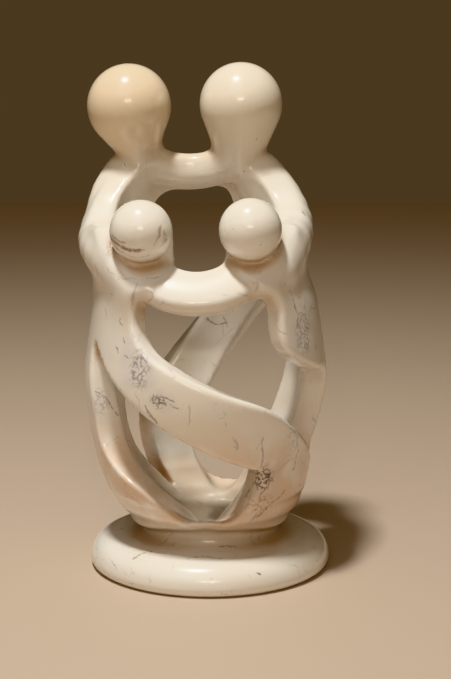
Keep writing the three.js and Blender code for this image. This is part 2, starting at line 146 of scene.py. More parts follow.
class NodeDesk:
    """Adds nodes to one tree, for a shape or for a finish."""

    def __init__(self, tree: bpy.types.NodeTree) -> None:
        """Keeps the tree."""
        self.tree = tree

    def node(
        self, kind: str, settings: Mapping[str, Any] | None = None, sockets: Mapping[Any, Any] | None = None
    ) -> bpy.types.Node:
        """Adds a node.

        Args:
            kind: The node's type.
            settings: Its own settings, which are set first. "stations" fills a curve.
            sockets: The value or the link of each socket, by name or number.

        Returns:
            The new node.
        """
        made = self.tree.nodes.new(kind)
        for name, value in (settings or {}).items():
            if name == "stations":
                self._set_stations(made.mapping, value)
            else:
                setattr(made, name, value)
        for name, value in (sockets or {}).items():
            self.feed(made.inputs[name], value)
        return made

    def feed(self, socket: bpy.types.NodeSocket, value: Any) -> None:
        """Links a term or a socket to a socket, or sets its plain value.

        Args:
            socket: The socket to fill.
            value: What goes in.
        """
        if isinstance(value, Term):
            value = value.socket
        if isinstance(value, bpy.types.NodeSocket):
            self.tree.links.new(value, socket)
        else:
            socket.default_value = value

    def math(self, operation: str, *values: Number, clamped: bool = False) -> Term:
        """Adds a Math node.

        Args:
            operation: What it works out.
            values: Its numbers, in the order of its sockets.
            clamped: Whether the result is kept between 0 and 1.

        Returns:
            The result.
        """
        settings = {"operation": operation, "use_clamp": clamped}
        made = self.node("ShaderNodeMath", settings, dict(enumerate(values)))
        return Term(self, made.outputs[0])

    def vector(self, operation: str, *values: Any) -> bpy.types.NodeSocket:
        """Adds a Vector Math node that works out a vector."""
        made = self.node("ShaderNodeVectorMath", {"operation": operation}, dict(enumerate(values)))
        return made.outputs["Vector"]

    def measure(self, operation: str, *values: Any) -> Term:
        """Adds a Vector Math node that works out a number."""
        made = self.node("ShaderNodeVectorMath", {"operation": operation}, dict(enumerate(values)))
        return Term(self, made.outputs["Value"])

    def scaled(self, vector: Any, factor: Number) -> bpy.types.NodeSocket:
        """Scales a vector."""
        made = self.node("ShaderNodeVectorMath", {"operation": "SCALE"}, {0: vector, "Scale": factor})
        return made.outputs["Vector"]

    def spot(self, vector: bpy.types.NodeSocket) -> Spot:
        """Splits a place into its three numbers."""
        parts = self.node("ShaderNodeSeparateXYZ", sockets={0: vector}).outputs
        return Spot(vector, *(Term(self, parts[axis]) for axis in "XYZ"))

    def smaller(self, first: Number, second: Number) -> Term:
        """The smaller of two numbers."""
        return self.math("MINIMUM", first, second)

    def larger(self, first: Number, second: Number) -> Term:
        """The larger of two numbers."""
        return self.math("MAXIMUM", first, second)

    def between(self, value: Number, low: Number, high: Number) -> Term:
        """Keeps a number between two others."""
        return self.larger(self.smaller(value, high), low)

    def eased(self, value: Term, low: Number, high: Number) -> Term:
        """Rises smoothly from 0 at the first number to 1 at the second.

        Args:
            value: The number that is looked at.
            low: Where the rise begins.
            high: Where it ends.

        Returns:
            The share, from 0 to 1.
        """
        sockets = {"Value": value, "From Min": low, "From Max": high}
        settings = {"interpolation_type": "SMOOTHSTEP", "clamp": False}
        made = self.node("ShaderNodeMapRange", settings, sockets)
        return Term(self, made.outputs["Result"])

    def faded(self, value: Term, low: Number, high: Number) -> Term:
        """Falls smoothly from 1 at the first number to 0 at the second."""
        return 1.0 - self.eased(value, low, high)

    def curve(self, value: Term, stations: Sequence[Station]) -> Term:
        """Follows a smooth curve through its stations.

        Args:
            value: The place along the curve.
            stations: The curve's value at each place.

        Returns:
            The curve's value.
        """
        places, heights = zip(*stations)
        low, high = min(heights), max(heights)
        span = places[-1] - places[0]
        shares = [((place - places[0]) / span, (height - low) / (high - low)) for place, height in stations]
        share = (value - places[0]) / span
        made = self.node("ShaderNodeFloatCurve", {"stations": shares}, {"Value": share})
        return Term(self, made.outputs[0]) * (high - low) + low

    def blend(self, first: Number, second: Number, width: Number) -> Term:
        """The nearer of two distances, with a fillet of the given width where they meet."""
        return self.math("SMOOTH_MIN", first, second, width)

    def rounded_cut(self, first: Term, second: Term, radius: Number) -> Term:
        """The farther of two distances, with the edge between them rounded.

        Args:
            first: One distance.
            second: The other distance.
            radius: The edge's rounding.

        Returns:
            The distance to what both hold.
        """
        over = self.larger(first + radius, 0.0)
        beside = self.larger(second + radius, 0.0)
        corner = self.math("SQRT", over * over + beside * beside)
        return self.smaller(self.larger(first, second), -1.0 * radius) + corner

    def mixed(self, first: Any, second: Any, share: Number, way: str = "MIX") -> bpy.types.NodeSocket:
        """Lays one colour over another.

        Args:
            first: The colour below.
            second: The colour on top.
            share: How much of it shows, from 0 to 1.
            way: How the two are put together.

        Returns:
            The colour.
        """
        settings = {"data_type": "RGBA", "blend_type": way}
        sockets = {"Factor_Float": share, "A_Color": first, "B_Color": second}
        made = self.node("ShaderNodeMix", settings)
        for socket in made.inputs:
            if socket.identifier in sockets:
                self.feed(socket, sockets[socket.identifier])
        return next(socket for socket in made.outputs if socket.identifier == "Result_Color")

    def noise(self, place: Any, size: float, detail: float) -> Mapping[str, bpy.types.NodeSocket]:
        """Adds noise in patches of the given width, with as many finer layers as the detail says."""
        sockets = {"Vector": place, "Scale": 1.0 / size, "Detail": detail}
        return self.node("ShaderNodeTexNoise", sockets=sockets).outputs

    def cloud(self, place: Any, size: float, detail: float) -> Term:
        """The noise as a number, from 0 to 1."""
        return Term(self, self.noise(place, size, detail)["Fac"])

    def shifted(self, place: Any, size: float, reach: float) -> bpy.types.NodeSocket:
        """Lets a place wander by up to the reach, in bends of the given width, so lines turn crooked."""
        centred = self.vector("SUBTRACT", self.noise(place, size, 1.0)["Color"], MIDDLE_GREY)
        return self.vector("ADD", place, self.scaled(centred, 2.0 * reach))

    def cracks(self, place: Any, size: float) -> Term:
        """The distance to the edges between irregular cells.

        Args:
            place: Where it is read, in millimetres.
            size: The width of the cells, in millimetres.

        Returns:
            The distance in millimetres.
        """
        settings = {"feature": "DISTANCE_TO_EDGE"}
        sockets = {"Vector": place, "Scale": 1.0 / size}
        return Term(self, self.node("ShaderNodeTexVoronoi", settings, sockets).outputs["Distance"]) * size

    @staticmethod
    def _set_stations(mapping: bpy.types.CurveMapping, stations: Sequence[Station]) -> None:
        """Fills a float curve.

        Args:
            mapping: The curve.
            stations: Its places and values, from 0 to 1.
        """
        points = mapping.curves[0].points
        while len(points) < len(stations):
            points.new(0.5, 0.5)
        for point, station in zip(points, stations):
            point.location = station
            point.handle_type = "AUTO_CLAMPED"
        mapping.update()


class FormDesk(NodeDesk):
    """Adds nodes to a Geometry Nodes tree whose sizes are named inputs."""

    def __init__(self, name: str) -> None:
        """Starts a tree with a geometry going in and out.

        Args:
            name: The tree's name.
        """
        super().__init__(bpy.data.node_groups.new(name, "GeometryNodeTree"))
        self.tree.interface.new_socket("Geometry", in_out="INPUT", socket_type="NodeSocketGeometry")
        self.tree.interface.new_socket("Geometry", in_out="OUTPUT", socket_type="NodeSocketGeometry")
        self.start = self.node("NodeGroupInput")
        self.end = self.node("NodeGroupOutput")
        self.values: dict[str, Any] = {}
        self.parts: dict[str, SimpleNamespace] = {}

    def named_input(self, name: str, kind: str, value: Any) -> bpy.types.NodeSocket:
        """Adds a named input to the tree.

        Args:
            name: The input's name.
            kind: The type of its socket.
            value: What a modifier gives it.

        Returns:
            The socket that it comes in by.
        """
        made = self.tree.interface.new_socket(name, in_out="INPUT", socket_type=kind)
        self.values[made.identifier] = value
        return self.start.outputs[name]

    def sizes(self, owner: str, part: Any) -> SimpleNamespace:
        """Makes each plain size of a part a named input, the first time that the part asks.

        Args:
            owner: The part's name, which starts the inputs' names.
            part: The dataclass that holds the sizes.

        Returns:
            The sizes as terms, by field name.
        """
        if owner in self.parts:
            return self.parts[owner]
        found = self.parts[owner] = SimpleNamespace()
        for size in fields(part):
            value = getattr(part, size.name)
            if isinstance(value, float):
                name = f"{owner} {size.name}".replace("_", " ")
                setattr(found, size.name, Term(self, self.named_input(name, "NodeSocketFloat", value)))
        return found

    def give_to(self, modifier: bpy.types.NodesModifier) -> None:
        """Hands the tree and its inputs' values to a modifier.

        Args:
            modifier: What takes them.
        """
        modifier.node_group = self.tree
        for identifier, value in self.values.items():
            modifier[identifier] = value

    def moved(self, skin: bpy.types.NodeSocket, way: str, value: Any) -> bpy.types.NodeSocket:
        """Moves a skin's corners to a "Position" or by an "Offset"."""
        return self.node("GeometryNodeSetPosition", sockets={"Geometry": skin, way: value}).outputs[0]

    def stored(self, skin: bpy.types.NodeSocket, kind: str, name: str, value: Any) -> bpy.types.NodeSocket:
        """Stores a value on a skin's corners.

        Args:
            skin: The skin.
            kind: The type of the value.
            name: The name that it is stored under.
            value: The value at each corner.

        Returns:
            The skin with the value on it.
        """
        settings = {"data_type": kind, "domain": "POINT"}
        sockets = {"Geometry": skin, "Name": name, "Value": value}
        return self.node("GeometryNodeStoreNamedAttribute", settings, sockets).outputs[0]

    def recalled(self, kind: str, name: str) -> bpy.types.NodeSocket:
        """Reads a value that was stored under a name."""
        made = self.node("GeometryNodeInputNamedAttribute", {"data_type": kind}, {"Name": name})
        return made.outputs["Attribute"]


def curve_point(before: Vector, start: Vector, end: Vector, after: Vector, share: float) -> Vector:
    """A point of the smooth curve between the middle two of four points.

    Args:
        before: The first point.
        start: The second point, where the stretch starts.
        end: The third point, where it ends.
        after: The fourth point.
        share: How far along the stretch the wanted point is, from 0 to 1.

    Returns:
        The point.
    """
    leaving = (end - before) * 0.5
    arriving = (after - start) * 0.5
    bend = leaving * (share**3 - 2.0 * share**2 + share) + arriving * (share**3 - share**2)
    return start + (end - start) * (3.0 * share**2 - 2.0 * share**3) + bend


@dataclass(frozen=True)
class RoundCone:
    """Two balls and the tapering skin that touches both."""

    start: Triple
    end: Triple
    start_radius: float
    end_radius: float

    def distance(self, desk: NodeDesk, at: Spot) -> Term:
        """The distance from a place.

        Args:
            desk: Where the nodes are added.
            at: The place.

        Returns:
            The distance, negative inside.
        """
        axis = Vector(self.end) - Vector(self.start)
        length = axis.length
        taper = (self.start_radius - self.end_radius) / length
        slant = taper / math.sqrt(1.0 - taper * taper)
        offset = desk.vector("SUBTRACT", at.vector, self.start)
        along = desk.measure("DOT_PRODUCT", offset, axis / length)
        squared = desk.measure("DOT_PRODUCT", offset, offset)
        across_squared = desk.larger(squared - along * along, 0.0)
        reach = along - desk.math("SQRT", across_squared) * slant
        nearest = desk.between(reach, 0.0, length)
        gap = along - nearest
        spread = desk.math("SQRT", across_squared + gap * gap)
        return spread + nearest * taper - self.start_radius


@dataclass(frozen=True)
class Limb:
    """A run of round cones along a smooth curve through the given places."""

    places: tuple[Triple, ...]
    radii: tuple[float, ...]
    cones_each: int = 2

    def stations(self) -> list[tuple[Triple, float]]:
        """Divides the curve between the places.

        Returns:
            The place and the radius at each end of the cones.
        """
        rows = [Vector((*place, radius)) for place, radius in zip(self.places, self.radii)]
        rows = [rows[0] * 2.0 - rows[1], *rows, rows[-1] * 2.0 - rows[-2]]
        found = []
        for before, start, end, after in zip(rows, rows[1:], rows[2:], rows[3:]):
            for step in range(self.cones_each):
                found.append(curve_point(before, start, end, after, step / self.cones_each))
        found.append(rows[-2])
        return [((row[0], row[1], row[2]), row[3]) for row in found]

    def distance(self, desk: NodeDesk, at: Spot, joint: Number) -> Term:
        """The distance from a place.

        Args:
            desk: Where the nodes are added.
            at: The place.
            joint: The width of the fillet at each joint.

        Returns:
            The distance, negative inside.
        """
        places, radii = zip(*self.stations())
        steps = list(zip(places, places[1:], radii, radii[1:]))
        total = RoundCone(*steps[0]).distance(desk, at)
        for step in steps[1:]:
            total = desk.blend(total, RoundCone(*step).distance(desk, at), joint)
        return total


@dataclass(frozen=True)
class Bow:
    """A bar that curves up towards its ends in a tilted plane, and may lift out of the plane there."""

    centre: Triple
    half_span: float
    end_rise: float
    tilt: float
    half_width: float
    half_thickness: float
    end_lift: float = 0.0

    def distance(self, desk: NodeDesk, at: Spot) -> Term:
        """The distance from a place.

        Args:
            desk: Where the nodes are added.
            at: The place.

        Returns:
            The distance, negative inside.
        """
        turned = math.radians(self.tilt)
        x, y, z = (axis - centre for axis, centre in zip((at.x, at.y, at.z), self.centre))
        near = desk.between(x, -self.half_span, self.half_span)
        up_slope = y * math.sin(turned) + z * math.cos(turned)
        lift = near * near * (self.end_lift / self.half_span**2)
        facing = z * math.sin(turned) - y * math.cos(turned) - lift
        bend = self.end_rise / self.half_span**2
        slope = near * (2.0 * bend)
        lean = 1.0 / desk.math("SQRT", slope * slope + 1.0)
        beside = x - near
        across = (up_slope - near * near * bend) * lean * (self.half_thickness / self.half_width)
        return desk.math("SQRT", beside * beside + across * across + facing * facing) - self.half_thickness


@dataclass(frozen=True)
class RoundBase:
    """The disc that the carving stands on, and the short neck between it and the bodies."""

    radius: float = 61.0
    height: float = 15.5
    upper_round: float = 11.0
    lower_round: float = 4.0
    neck_front_radius: float = 29.0
    neck_side_radius: float = 33.0
    neck_middle: float = 16.0
    neck_half_height: float = 8.0
    fillet: float = 9.0

    def distance(self, desk: FormDesk, at: Spot) -> Term:
        """The distance from a place.

        Args:
            desk: Where the nodes are added.
            at: The place.

        Returns:
            The distance, negative inside.
        """
        size = desk.sizes("Base", self)
        spread_squared = at.x * at.x + at.y * at.y
        spread = desk.math("SQRT", spread_squared)
        rim = spread - size.radius
        upper = desk.rounded_cut(rim, at.z - size.height, size.upper_round)
        lower = desk.rounded_cut(rim, -at.z, size.lower_round)
        side_share = at.x * at.x / desk.larger(spread_squared, LEAST_SQUARE)
        neck_radius = size.neck_front_radius + side_share * (size.neck_side_radius - size.neck_front_radius)
        neck_end = abs(at.z - size.neck_middle) - size.neck_half_height
        neck = desk.larger(spread - neck_radius, neck_end)
        return desk.blend(neck, desk.larger(upper, lower), size.fillet)


class Window(Enum):
    """The windows through the bodies, as closed outlines of bearing in degrees and height."""

    LEFT = (
        (-67, 117), (-52, 105), (-31, 88.5), (-12, 77), (8, 67), (20, 62), (31.5, 57), (28, 47), (18.5, 36),
        (4, 25.5), (-9, 25), (-20, 35.5), (-34, 47), (-50, 56), (-61, 66), (-65, 88),
    )
    FRONT = (
        (-36, 142.5), (-37, 137), (-35.5, 127), (-29, 117.5), (-12, 108), (8, 99), (31, 90), (48, 79),
        (63, 69), (82, 57), (91, 54), (96, 59), (94, 69), (88.5, 86), (85.5, 94), (78, 101), (64, 105.5),
        (48, 112.5), (41, 119), (39.5, 127), (41, 137), (40, 143), (35, 146.5), (30, 151), (26, 160),
        (23, 185), (-18, 185), (-22, 158), (-26, 149.5), (-31.5, 145.5),
    )
    RIGHT = (
        (114, 142), (124, 140), (146, 125), (166, 100.5), (180, 78), (187, 66), (190, 52), (186, 40),
        (178, 32), (167, 29), (156, 31.5), (147, 41), (131, 72), (123.5, 97), (117, 118),
    )
    BACK = (
        (157, 187), (154, 170), (160, 149), (183, 121), (202, 97), (217, 77), (221, 64), (221, 42),
        (221, 33), (228, 40), (236, 49), (244, 60), (246, 72), (236, 108), (224, 146), (211.5, 181),
        (198, 188.5), (177, 190),
    )

    def outline(self, steps: int) -> list[Vector]:
        """Smooths the outline with a centripetal curve through its points.

        Args:
            steps: How many short edges each stretch gets.

        Returns:
            The points of the smoothed outline, flat.
        """
        points = [Vector(point) for point in self.value]
        smoothed = []
        for index in range(len(points)):
            around = [points[(index + shift) % len(points)] for shift in (-1, 0, 1, 2)]
            knots = [0.0]
            for before, after in zip(around, around[1:]):
                knots.append(knots[-1] + math.sqrt((after - before).length))
            for step in range(steps):
                place = knots[1] + (knots[2] - knots[1]) * step / steps
                smoothed.append(self._along(around, knots, place))
        return smoothed

    @staticmethod
    def _along(around: Sequence[Vector], knots: Sequence[float], place: float) -> Vector:
        """A point of the curve between the middle two of four points.

        Args:
            around: The four points.
            knots: Their places along the curve.
            place: The wanted place.

        Returns:
            The point.
        """
        row = list(around)
        for reach in (1, 2, 3):
            mixed = []
            for index in range(4 - reach):
                low, high = (index, index + reach) if reach < 3 else (1, 2)
                share = (place - knots[low]) / (knots[high] - knots[low])
                mixed.append(row[index].lerp(row[index + 1], share))
            row = mixed
        return row[0]


@dataclass(frozen=True)
class PiercedBodies:
    """The egg-shaped shell of the bodies, its four windows, and the hollow floor of its bowl."""

    edge_round: float = 2.4
    left_edge_round: float = 1.8
    lip_round: float = 2.0
    lip_side_height: float = 20.5
    lip_front_rise: float = 8.5
    lip_underslope: float = 0.55
    lip_reach: float = 12.0
    floor_height: float = 23.0
    floor_rise: float = 9.0
    floor_radius: float = 40.0
    bowl_fillet: float = 6.0
    top_steepness: float = 0.75
    lip_steepness: float = 0.85
    floor_steepness: float = 0.92
    outer_radius: tuple[Station, ...] = (
        (14, 27), (23, 34.8), (25.7, 37.6), (30, 40.8), (34.2, 44.3), (39, 47.4), (47, 51.6), (62, 55.4),
        (80, 59), (98, 60.8), (112, 59.4), (125, 57.5), (138, 55.6), (150, 53.7), (165, 53), (178, 52.6),
        (188, 50.6), (197, 47.2), (205, 42.4), (212, 36),
    )
    sideways_lean: tuple[Station, ...] = (
        (0, 0), (28, -0.4), (47, -2.2), (62, -2.9), (80, -2.3), (98, -2), (125, -2), (150, -4.5), (165, -6),
        (200, -7),
    )
    wall: tuple[Station, ...] = ((20, 15), (60, 14), (100, 12.5), (140, 11), (210, 12))
    top: tuple[Station, ...] = (
        (-85, 172), (-72, 173), (-58, 173), (-45, 172), (0, 165), (50, 172), (62, 174), (76, 173), (90, 177),
        (105, 185), (120, 195), (150, 203), (190, 203), (220, 203), (245, 194), (262, 182), (275, 172),
    )
    outline_steps: int = 8

    def outlines(self) -> bpy.types.Mesh:
        """Draws the windows flat, with bearing along X and height along Y.

        Returns:
            A mesh with one face for each window, which knows whether it is the left one.
        """
        corners: list[Triple] = []
        faces: list[list[int]] = []
        for window in Window:
            points = window.outline(self.outline_steps)
            faces.append(list(range(len(corners), len(corners) + len(points))))
            corners.extend((point.x, point.y, 0.0) for point in points)
        mesh = bpy.data.meshes.new("window_outlines")
        mesh.from_pydata(corners, [], faces)
        mark = mesh.attributes.new(LEFT_MARK, "INT", "POINT")
        for index in faces[list(Window).index(Window.LEFT)]:
            mark.data[index].value = 1
        return mesh

    def window_distances(self, desk: FormDesk, flat: bpy.types.NodeSocket) -> tuple[Term, Term]:
        """How far a place on the unrolled shell is from the windows' outlines.

        Args:
            desk: Where the nodes are added.
            flat: The place's bearing and height.

        Returns:
            The distances to the left window and to the nearest other window, negative inside.
        """
        outlines = desk.start.outputs["Geometry"]
        mark = desk.recalled("INT", LEFT_MARK)
        above = desk.vector("ADD", flat, (0.0, 0.0, 1.0))
        sockets = {
            "Target Geometry": outlines, "Attribute": mark, "Source Position": above,
            "Ray Direction": (0.0, 0.0, -1.0), "Ray Length": 2.0,
        }
        settings = {"data_type": "INT", "mapping": "NEAREST"}
        found = desk.node("GeometryNodeRaycast", settings, sockets).outputs
        inside = Term(desk, found["Is Hit"])
        in_left = inside * Term(desk, found["Attribute"])
        distances = []
        for group, within in ((1, in_left), (0, inside - in_left)):
            sockets = {
                "Geometry": outlines, "Group ID": mark, "Sample Position": flat, "Sample Group ID": group,
            }
            near = desk.node("GeometryNodeProximity", {"target_element": "EDGES"}, sockets)
            distances.append(Term(desk, near.outputs["Distance"]) * (1.0 - within * 2.0))
        return distances[0], distances[1]

    def distance(self, desk: FormDesk, at: Spot, chest: Term) -> Term:
        """The distance from a place.

        Args:
            desk: Where the nodes are added.
            at: The place.
            chest: How far the place lies in front of the children's chests.

        Returns:
            The distance, negative inside.
        """
        size = desk.sizes("Bodies", self)
        x = at.x - desk.curve(at.z, self.sideways_lean)
        spread = desk.math("SQRT", x * x + at.y * at.y)
        first, last = self.top[0][0], self.top[-1][0]
        turn = desk.math("DEGREES", desk.math("ARCTAN2", x, -at.y))
        bearing = desk.math("WRAP", turn, float(last), float(first))
        radius = desk.curve(at.z, self.outer_radius)
        rise = (desk.curve(at.z + 1.0, self.outer_radius) - desk.curve(at.z - 1.0, self.outer_radius)) * 0.5
        steepness = 1.0 / desk.math("SQRT", rise * rise + 1.0)
        half_wall = desk.curve(at.z, self.wall) * 0.5
        skin = abs((spread - radius + half_wall) * steepness) - half_wall
        flat = desk.node("ShaderNodeCombineXYZ", sockets={0: bearing, 1: at.z}).outputs[0]
        left, others = self.window_distances(desk, flat)
        above_top = (at.z - desk.curve(bearing, self.top)) * size.top_steepness
        limit = desk.larger(desk.larger(-others, above_top), chest)
        pierced = desk.rounded_cut(skin, -left, size.left_edge_round)
        pierced = desk.rounded_cut(pierced, limit, size.edge_round)
        centre_squared = at.x * at.x + at.y * at.y
        centre_spread = desk.math("SQRT", centre_squared)
        front_share = at.y * at.y / desk.larger(centre_squared, LEAST_SQUARE)
        inset = desk.between(radius - centre_spread, 0.0, size.lip_reach)
        lip = size.lip_side_height + size.lip_front_rise * front_share - size.lip_underslope * inset
        below_lip = (lip - at.z) * size.lip_steepness
        dish = size.floor_height + size.floor_rise * centre_squared / (size.floor_radius * size.floor_radius)
        filled = desk.rounded_cut((spread - radius) * steepness, below_lip, size.lip_round)
        floor = desk.rounded_cut(filled, (at.z - dish) * size.floor_steepness, size.lip_round)
        walls = desk.rounded_cut(pierced, below_lip, size.lip_round)
        return desk.blend(walls, floor, size.bowl_fillet)


@dataclass(frozen=True)
class Parent:
    """One of the two tall figures: a ball head on a tapering neck, an arm and the top of a torso."""

    head: RoundCone
    bar_fillet: float
    arm: Limb
    torso: RoundCone


@dataclass(frozen=True)
class Parents:
    """The two tall figures at the back, and the drooping bar that joins them."""

    arm_joint: float = 4.5
    arm_fillet: float = 12.0
    arms_fillet: float = 1.5
    neck_fillet: float = 3.0
    left: Parent = Parent(
        RoundCone((-41.3, 31, 230.5), (-35.9, 31, 203.5), 21.45, 6.6),
        9.0,
        Limb(((-43, 31, 195.5), (-51, 28, 186), (-53.8, 17, 175.5), (-55.2, 3, 165.5), (-51, -12, 160),
              (-41, -27, 153)), (10.3, 9.1, 8.8, 9.6, 9.8, 10)),
        RoundCone((-41.5, 31, 196), (-49, 31, 160), 9.5, 9.5),
    )
    right: Parent = Parent(
        RoundCone((15.8, 31, 231.5), (15.1, 31, 203), 21.15, 10),
        8.0,
        Limb(((23.5, 31, 198), (29.8, 30, 193), (37.4, 25, 184.5), (41.8, 12, 173), (39.3, -7, 165.5),
              (32, -27, 153)), (10, 9.3, 8.8, 9.4, 9.8, 10)),
        RoundCone((22.5, 31, 196), (35.5, 31, 160), 9.5, 9.5),
    )
    bar: Bow = Bow((-10.8, 35.5, 196.7), 25, 9.4, 0, 8.8, 6.6, 10.3)

    def distance(self, desk: FormDesk, at: Spot) -> Term:
        """The distance from a place.

        Args:
            desk: Where the nodes are added.
            at: The place.

        Returns:
            The distance, negative inside.
        """
        size = desk.sizes("Parents", self)
        sides = []
        heads = self.bar.distance(desk, at)
        for parent in (self.left, self.right):
            arm = parent.arm.distance(desk, at, size.arm_joint)
            sides.append(desk.blend(arm, parent.torso.distance(desk, at), size.arm_fillet))
            heads = desk.blend(heads, parent.head.distance(desk, at), parent.bar_fillet)
        shoulders = desk.blend(sides[0], sides[1], size.arms_fillet)
        return desk.blend(shoulders, heads, size.neck_fillet)


@dataclass(frozen=True)
class Child:
    """One of the two small figures: a ball head on a short neck."""

    head: Triple
    neck: RoundCone


@dataclass(frozen=True)
class Children:
    """The two small figures at the front, and the flat bar between them that faces up and forward."""

    head_radius: float = 15.0
    head_fillet: float = 2.25
    neck_fillet: float = 11.0
    middle_fillet: float = 6.0
    end_fillet: float = 19.0
    fillet_centre: float = -5.5
    fillet_from: float = 24.0
    fillet_to: float = 40.0
    left: Child = Child((-32, -36, 172.6), RoundCone((-28.2, -26, 170), (-27.2, -25, 159), 11, 10))
    right: Child = Child((19.7, -36, 173.4), RoundCone((18.9, -26, 170), (18.9, -25, 159), 11, 10))
    bar: Bow = Bow((-6, -40.5, 143.6), 27, 14.3, 45, 11.4, 8.5)
    backs: Bow = Bow((-6, -21.5, 138.5), 27, 0, 90, 16, 6, 17)
    backs_fillet: float = 8.0
    face_depth: float = 6.5
    face_round: float = 2.5

    def chest(self, desk: FormDesk, at: Spot) -> Term:
        """How far a place lies in front of the plane of the bar's face and the chests.

        Args:
            desk: Where the nodes are added.
            at: The place.

        Returns:
            The distance, negative behind the plane.
        """
        turned = math.radians(self.bar.tilt)
        _, middle_y, middle_z = self.bar.centre
        facing = (at.z - middle_z) * math.cos(turned) - (at.y - middle_y) * math.sin(turned)
        return facing - desk.sizes("Children", self).face_depth

    def join(self, desk: FormDesk, at: Spot, rest: Term) -> Term:
        """Blends the children into the rest of the carving.

        Args:
            desk: Where the nodes are added.
            at: The place.
            rest: The distance to the rest of the carving.

        Returns:
            The distance to all of it, negative inside.
        """
        size = desk.sizes("Children", self)
        total = desk.blend(self.bar.distance(desk, at), self.backs.distance(desk, at), size.backs_fillet)
        total = desk.rounded_cut(total, self.chest(desk, at), size.face_round)
        for child in (self.left, self.right):
            total = desk.blend(total, child.neck.distance(desk, at), size.neck_fillet)
        outward = abs(at.x - size.fillet_centre)
        ease = desk.eased(outward, size.fillet_from, size.fillet_to)
        fillet = size.middle_fillet + ease * (size.end_fillet - size.middle_fillet)
        total = desk.blend(rest, total, fillet)
        for child in (self.left, self.right):
            reach = desk.measure("DISTANCE", at.vector, child.head)
            total = desk.blend(total, reach - size.head_radius, size.head_fillet)
        return total


class Tone(Enum):
    """The colours of the mineral in the veins."""

    LILAC = (0.33, 0.30, 0.34, 1.0)
    DARK = (0.12, 0.10, 0.11, 1.0)
    BROWN = (0.26, 0.15, 0.085, 1.0)
    ROSE = (0.40, 0.25, 0.20, 1.0)


@dataclass(frozen=True)
class Vein:
    """A fine vein that runs from place to place, as a thin sheet through the stone.

    Its core is full, it has faded out at the rim, and it is looked for no farther off than its search.
    All three are in widths of the vein.
    """

    tone: Tone
    width: float
    strength: float
    places: tuple[Triple, ...]
    core: float = 0.12
    rim: float = 0.75
    search: float = 4.0

    def mask(self, desk: NodeDesk, sheet: bpy.types.NodeSocket, squash: Triple) -> Term:
        """Says how strongly the vein shows.

        Args:
            desk: Where the nodes are added.
            sheet: The place, wandered and squashed, in millimetres.
            squash: How the places are squashed, which lets the vein run deep.

        Returns:
            The share of the vein's colour, from 0 to 1.
        """
        nearest: Number = self.width * self.search
        squashed = [Vector(place) * Vector(squash) for place in self.places]
        for first, second in zip(squashed, squashed[1:]):
            run = second - first
            gone = desk.vector("SUBTRACT", sheet, first)
            share = desk.measure("DOT_PRODUCT", gone, run / run.length_squared)
            foot = desk.scaled(run, desk.between(share, 0.0, 1.0))
            nearest = desk.smaller(nearest, desk.measure("DISTANCE", gone, foot))
        return desk.faded(nearest, self.width * self.core, self.width * self.rim) * self.strength


@dataclass(frozen=True)
class Crackle:
    """A patch of fine crossing veins round a centre, which fades over a span in shares of its reach."""

    tone: Tone
    strength: float
    centre: Triple
    reach: Triple
    edge: Span = (0.45, 1.1)

    def mask(self, desk: NodeDesk, place: bpy.types.NodeSocket, lines: Term) -> Term:
        """How strongly the patch shows at a place, given its pattern of crossing veins."""
        return self.patch(desk, place, 1.0) * lines * self.strength

    def patch(self, desk: NodeDesk, place: bpy.types.NodeSocket, spread: float) -> Term:
        """The soft egg that the patch fills.

        Args:
            desk: Where the nodes are added.
            place: The place, in millimetres.
            spread: How many times its own reach the egg is given.

        Returns:
            The share, 1 in the middle and 0 outside.
        """
        away = desk.vector("SUBTRACT", place, Vector(self.centre))
        shares = desk.vector("DIVIDE", away, Vector(self.reach) * spread)
        return desk.faded(desk.measure("LENGTH", shares), *self.edge)


